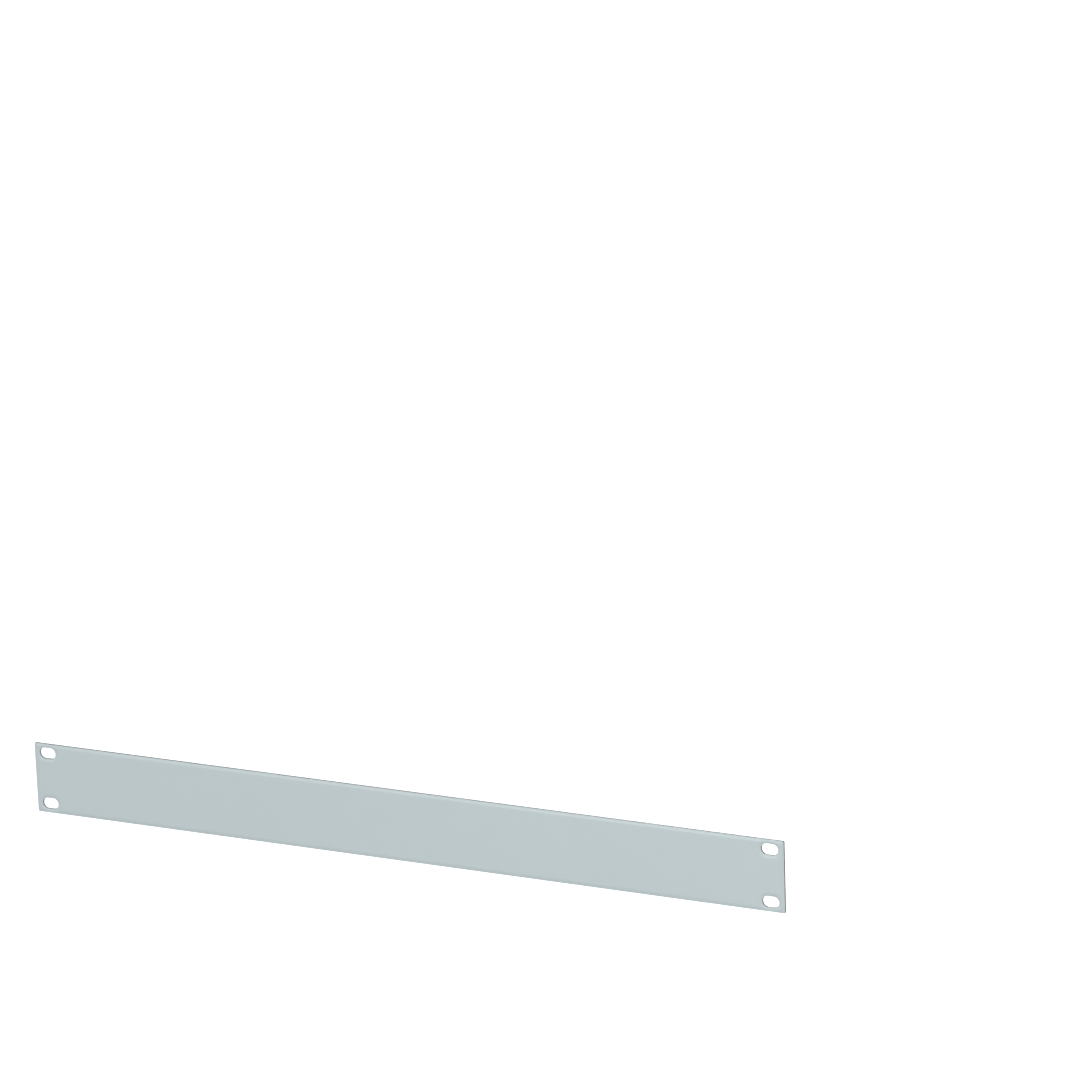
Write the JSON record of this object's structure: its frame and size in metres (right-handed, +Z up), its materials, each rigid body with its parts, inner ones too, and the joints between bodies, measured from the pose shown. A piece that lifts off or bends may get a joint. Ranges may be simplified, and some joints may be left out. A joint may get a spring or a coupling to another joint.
{
  "type": "rack blanking panel",
  "caption": "Flat light-grey steel panel with an obround slot near each corner, screwed across an equipment rack to close an empty space.",
  "frame": {"origin": "middle of the four-slot pattern, on the rear face that lies against the rack's rails", "axes": "+X along the panel's length, +Z up as mounted, +Y out of the rear face, so the front face looks towards -Y"},
  "size_m": [0.4826, 0.0015, 0.0436],
  "materials": {
    "panel_coat": "light grey powder coat on sheet steel, satin, smooth"
  },
  "bodies": {
    "root": {"panel": "panel_coat"}
  },
  "joints": []
}
